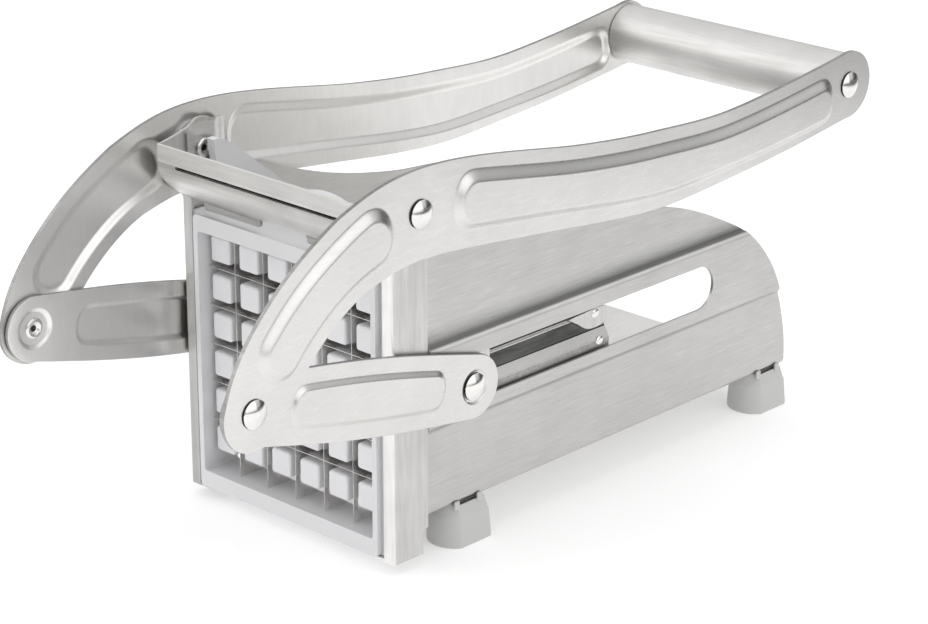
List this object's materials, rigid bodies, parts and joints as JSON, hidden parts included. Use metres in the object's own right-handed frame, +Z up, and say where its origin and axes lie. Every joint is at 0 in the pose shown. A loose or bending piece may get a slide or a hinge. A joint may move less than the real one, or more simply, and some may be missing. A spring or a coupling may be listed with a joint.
{
  "type": "french fry cutter",
  "caption": "Hand lever press of sheet steel that drives a peg block through a square blade grid, with stamped arms, links, a tube handle and plastic feet.",
  "frame": {"origin": "middle of the footprint of the whole object, on the table that the feet stand on", "axes": "+Z up, +Y from the blade grid to the handle, +X to the right when the grid faces the viewer's front"},
  "size_m": [0.0886, 0.2538, 0.1117],
  "materials": {
    "brushed_sheet": "fine brushed lines along the channel",
    "stamped_steel": "satin stamped sheet",
    "handle_steel": "polished tube with a fine brushed grain",
    "bright_hardware": "bright polished",
    "blade_steel": "ground blade strip",
    "carrier_steel": "smooth bent sheet",
    "light_plastic": "moulded, light cool grey",
    "grey_plastic": "moulded, grey"
  },
  "bodies": {
    "base": {"body_channel": "brushed_sheet", "front_frame": "brushed_sheet", "cassette_frame": "light_plastic", "vertical_blades": "blade_steel", "horizontal_blades": "blade_steel", "pivot_rivet_left": "bright_hardware", "pivot_rivet_right": "bright_hardware", "pivot_spacer_left": "grey_plastic", "pivot_spacer_right": "grey_plastic", "foot_front_left": "grey_plastic", "foot_front_right": "grey_plastic", "foot_rear_left": "grey_plastic", "foot_rear_right": "grey_plastic"},
    "pusher": {"pusher_block": "light_plastic", "pusher_carrier": "carrier_steel", "carrier_screws": "bright_hardware", "pusher_axle": "bright_hardware"},
    "lever": {"lever_arm_left": "stamped_steel", "lever_arm_right": "stamped_steel", "handle_tube": "handle_steel", "handle_rod": "bright_hardware", "handle_plug_left": "grey_plastic", "handle_plug_right": "grey_plastic", "tip_rivet_left": "bright_hardware", "tip_rivet_right": "bright_hardware"},
    "link_left": {"link_left": "stamped_steel", "link_rivet_left": "bright_hardware"},
    "link_right": {"link_right": "stamped_steel", "link_rivet_right": "bright_hardware"}
  },
  "joints": [
    {"name": "lever_hinge", "type": "hinge", "parent": "base", "child": "lever", "pos_m": [0, -0.06017, 0.098], "axis": [1, 0, 0], "range_deg": [0, 90]},
    {"name": "pusher_slide", "type": "slide", "parent": "base", "child": "pusher", "axis": [0, 1, 0], "range_m": [0, 0.09512]},
    {"name": "link_hinge_left", "type": "hinge", "parent": "lever", "child": "link_left", "pos_m": [-0.0405, -0.11713, 0.0616], "axis": [1, 0, 0], "range_deg": [-75.5, 0]},
    {"name": "link_hinge_right", "type": "hinge", "parent": "lever", "child": "link_right", "pos_m": [0.0405, -0.11713, 0.0616], "axis": [1, 0, 0], "range_deg": [-75.5, 0]}
  ],
  "couplings": [
    {"joint": "pusher_slide", "follows": "lever_hinge", "m_per_rad": 0.060425},
    {"joint": "link_hinge_left", "follows": "lever_hinge", "ratio": -0.83554},
    {"joint": "link_hinge_right", "follows": "lever_hinge", "ratio": -0.83554}
  ]
}
